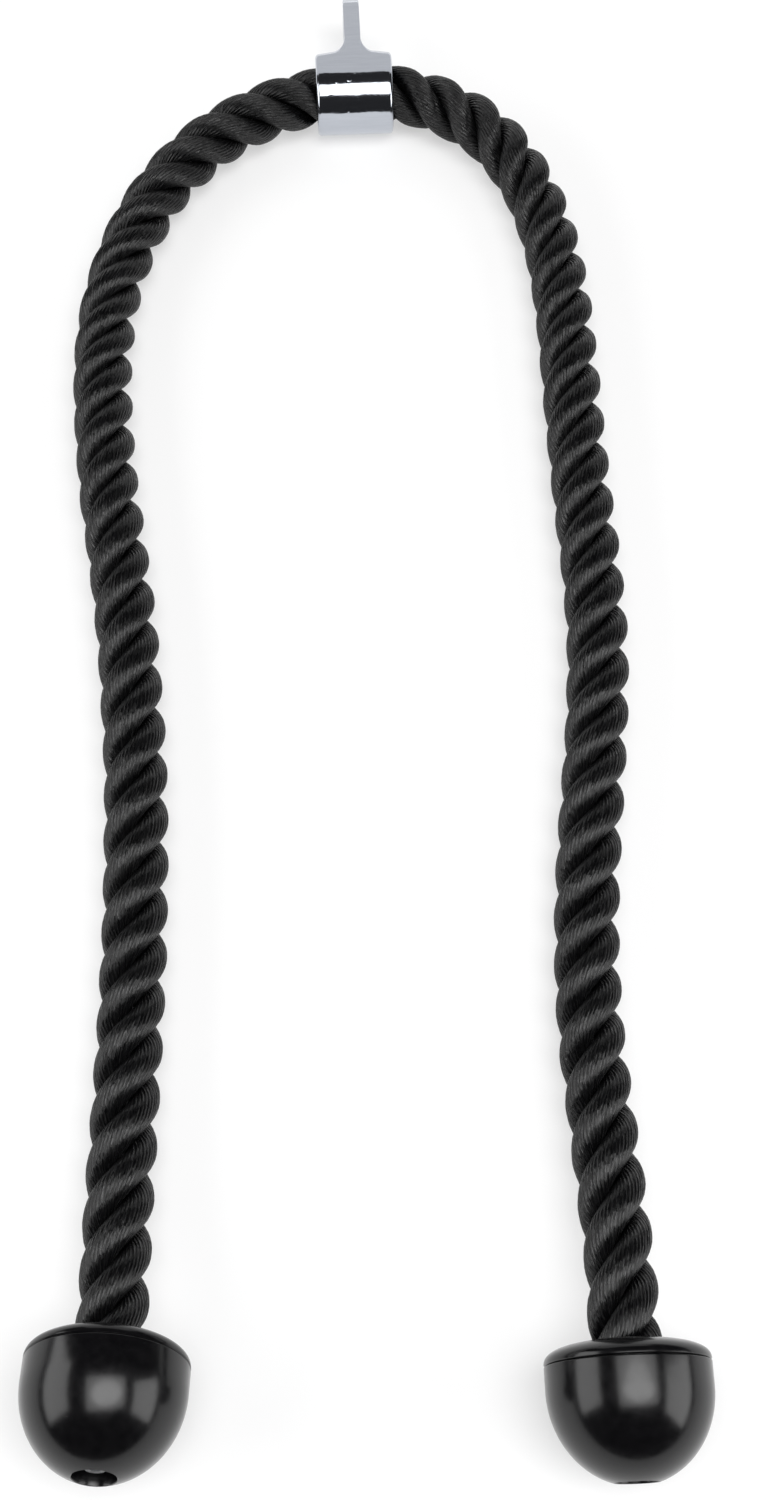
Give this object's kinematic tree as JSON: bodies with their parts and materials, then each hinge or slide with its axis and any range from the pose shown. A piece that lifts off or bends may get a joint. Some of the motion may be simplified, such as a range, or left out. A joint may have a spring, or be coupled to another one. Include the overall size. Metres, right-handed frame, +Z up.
{
  "type": "triceps rope attachment",
  "caption": "Laid rope through a chromed collar with an eye plate for a carabiner, and a round-bottomed screwed cap on each end of the rope.",
  "frame": {"origin": "under the middle of the collar and the two end caps taken together, on the surface that the part lies on", "axes": "+Z up from that surface; +Y the way the eye plate points, from the legs of the rope towards the collar; +X to the right seen from above with the eye plate up"},
  "size_m": [0.2874, 0.7932, 0.0721],
  "materials": {
    "rope": "black laid rope, faint sheen",
    "chrome": "polished chrome plate",
    "cap": "glossy black moulding",
    "tape": "black tape",
    "steel": "plain zinc-coated steel"
  },
  "bodies": {
    "rope_centre": {"rope_centre": "rope"},
    "collar": {"collar": "chrome"},
    "left_1": {"left_rope_bend_1": "rope", "left_rope_1": "rope"},
    "left_2": {"left_rope_bend_2": "rope", "left_rope_2": "rope"},
    "left_3": {"left_rope_bend_3": "rope", "left_rope_3": "rope"},
    "left_4": {"left_rope_bend_4": "rope", "left_rope_4": "rope", "left_cap_bowl": "cap", "left_cap_cover": "cap", "left_end_tape": "tape", "left_washer": "steel", "left_screw": "steel"},
    "right_1": {"right_rope_bend_1": "rope", "right_rope_1": "rope"},
    "right_2": {"right_rope_bend_2": "rope", "right_rope_2": "rope"},
    "right_3": {"right_rope_bend_3": "rope", "right_rope_3": "rope"},
    "right_4": {"right_rope_bend_4": "rope", "right_rope_4": "rope", "right_cap_bowl": "cap", "right_cap_cover": "cap", "right_end_tape": "tape", "right_washer": "steel", "right_screw": "steel"}
  },
  "joints": [
    {"name": "collar_turn", "type": "hinge", "parent": "rope_centre", "child": "collar", "pos_m": [0.02062, 0.33361, 0.0205], "axis": [1, 0, 0], "continuous": true},
    {"name": "left_bend_1_sideways", "type": "hinge", "parent": "rope_centre", "child": "left_1", "pos_m": [-0.0657, 0.30148, 0.01835], "axis": [0, 0, 1], "range_deg": [-60, 8], "deforming": ["left_rope_bend_1"]},
    {"name": "left_bend_2_up", "type": "hinge", "parent": "left_1", "child": "left_2", "pos_m": [-0.11709, 0.12523, 0.0155], "axis": [-0.9985, -0.0553, 0], "range_deg": [0, 50], "deforming": ["left_rope_bend_2"]},
    {"name": "left_bend_3_sideways", "type": "hinge", "parent": "left_2", "child": "left_3", "pos_m": [-0.10002, -0.06392, 0.0155], "axis": [0, 0, 1], "range_deg": [-30, 20], "deforming": ["left_rope_bend_3"]},
    {"name": "left_bend_4_up", "type": "hinge", "parent": "left_3", "child": "left_4", "pos_m": [-0.10476, -0.25374, 0.01806], "axis": [-0.9987, 0.0508, 0], "range_deg": [0, 40], "deforming": ["left_rope_bend_4"]},
    {"name": "right_bend_1_sideways", "type": "hinge", "parent": "rope_centre", "child": "right_1", "pos_m": [0.10161, 0.2946, 0.01835], "axis": [0, 0, 1], "range_deg": [-8, 60], "deforming": ["right_rope_bend_1"]},
    {"name": "right_bend_2_up", "type": "hinge", "parent": "right_1", "child": "right_2", "pos_m": [0.12665, 0.10882, 0.0155], "axis": [-1, -0.0079, 0], "range_deg": [0, 50], "deforming": ["right_rope_bend_2"]},
    {"name": "right_bend_3_sideways", "type": "hinge", "parent": "right_2", "child": "right_3", "pos_m": [0.11928, -0.08067, 0.0155], "axis": [0, 0, 1], "range_deg": [-20, 30], "deforming": ["right_rope_bend_3"]},
    {"name": "right_bend_4_up", "type": "hinge", "parent": "right_3", "child": "right_4", "pos_m": [0.10934, -0.2696, 0.02324], "axis": [-0.9997, -0.026, 0], "range_deg": [0, 40], "deforming": ["right_rope_bend_4"]}
  ]
}
